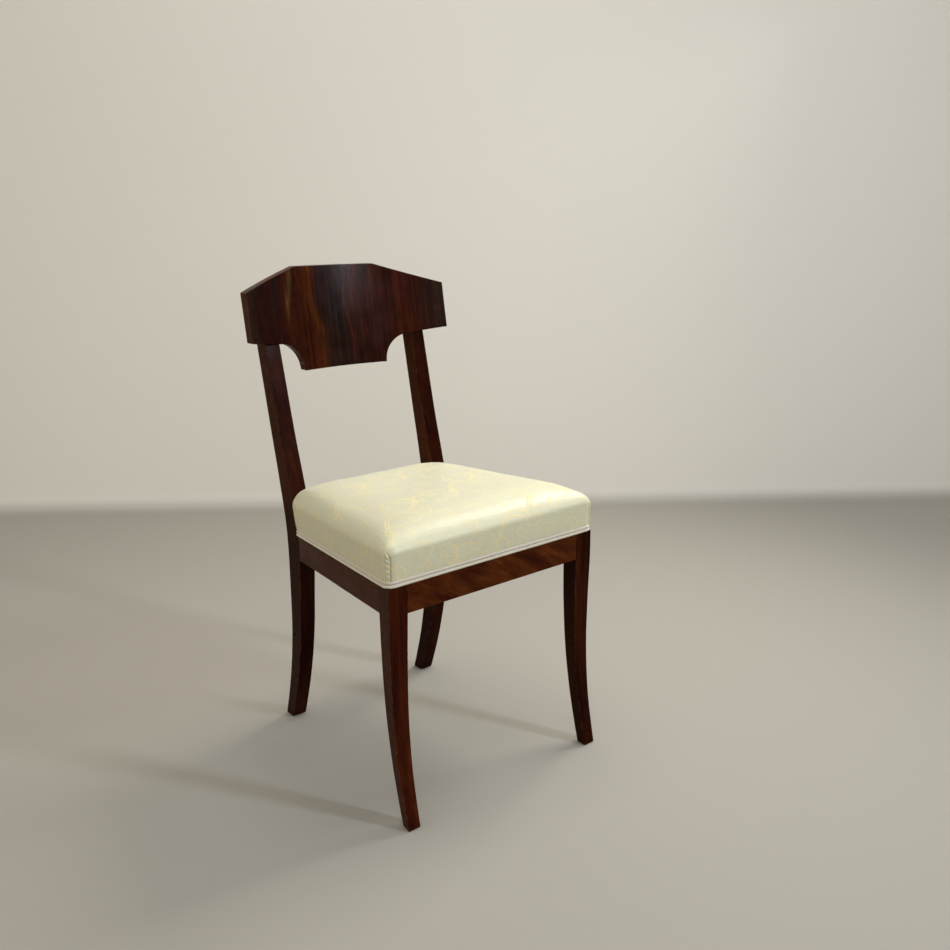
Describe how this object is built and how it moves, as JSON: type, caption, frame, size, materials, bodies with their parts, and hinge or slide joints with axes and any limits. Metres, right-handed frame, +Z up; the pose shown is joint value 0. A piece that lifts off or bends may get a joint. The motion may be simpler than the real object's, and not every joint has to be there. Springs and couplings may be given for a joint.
{
  "type": "dining chair",
  "caption": "Klismos dining chair with sabre legs, raked stiles, a curved crest tablet and a stuffed-over cream damask seat edged with double welt.",
  "frame": {"origin": "on the floor, under the middle of the whole chair's box", "axes": "+X to the right as seen from the front, +Y to the back, +Z up; the chair faces -Y and X = 0 is its plane of symmetry"},
  "size_m": [0.4474, 0.5304, 0.875],
  "materials": {
    "mahogany": "dark red-brown mahogany, French polished",
    "flame_veneer": "flame-figured mahogany veneer, French polished",
    "block_wood": "bare beech, sawn",
    "screw_steel": "dull steel wood screws",
    "webbing": "plain jute webbing",
    "hessian": "hessian base cloth",
    "stuffing": "curled hair under wadding",
    "damask": "cream satin damask with a fine scroll",
    "welt": "double welt in cream cloth",
    "dust_cloth": "black cambric"
  },
  "bodies": {
    "root": {"base_cloth": "hessian", "block_screw_front_left_rail": "screw_steel", "block_screw_front_left_side": "screw_steel", "block_screw_front_right_rail": "screw_steel", "block_screw_front_right_side": "screw_steel", "block_screw_rear_left_rail": "screw_steel", "block_screw_rear_left_side": "screw_steel", "block_screw_rear_right_rail": "screw_steel", "block_screw_rear_right_side": "screw_steel", "corner_block_front_left": "block_wood", "corner_block_front_right": "block_wood", "corner_block_rear_left": "block_wood", "corner_block_rear_right": "block_wood", "crest_plug_left_lower": "mahogany", "crest_plug_left_upper": "mahogany", "crest_plug_right_lower": "mahogany", "crest_plug_right_upper": "mahogany", "crest_rail": "mahogany", "crest_screw_left_lower": "screw_steel", "crest_screw_left_upper": "screw_steel", "crest_screw_right_lower": "screw_steel", "crest_screw_right_upper": "screw_steel", "crest_veneer": "flame_veneer", "dust_cloth": "dust_cloth", "front_leg_left": "mahogany", "front_leg_right": "mahogany", "front_rail": "mahogany", "front_rail_veneer": "flame_veneer", "rear_leg_left": "mahogany", "rear_leg_right": "mahogany", "rear_rail": "mahogany", "seat_cover": "damask", "seat_stuffing": "stuffing", "side_rail_left": "mahogany", "side_rail_right": "mahogany", "webbing_cross_1": "webbing", "webbing_cross_2": "webbing", "webbing_cross_3": "webbing", "webbing_long_1": "webbing", "webbing_long_2": "webbing", "webbing_long_3": "webbing", "welt_front": "welt", "welt_rear": "welt"}
  },
  "joints": []
}
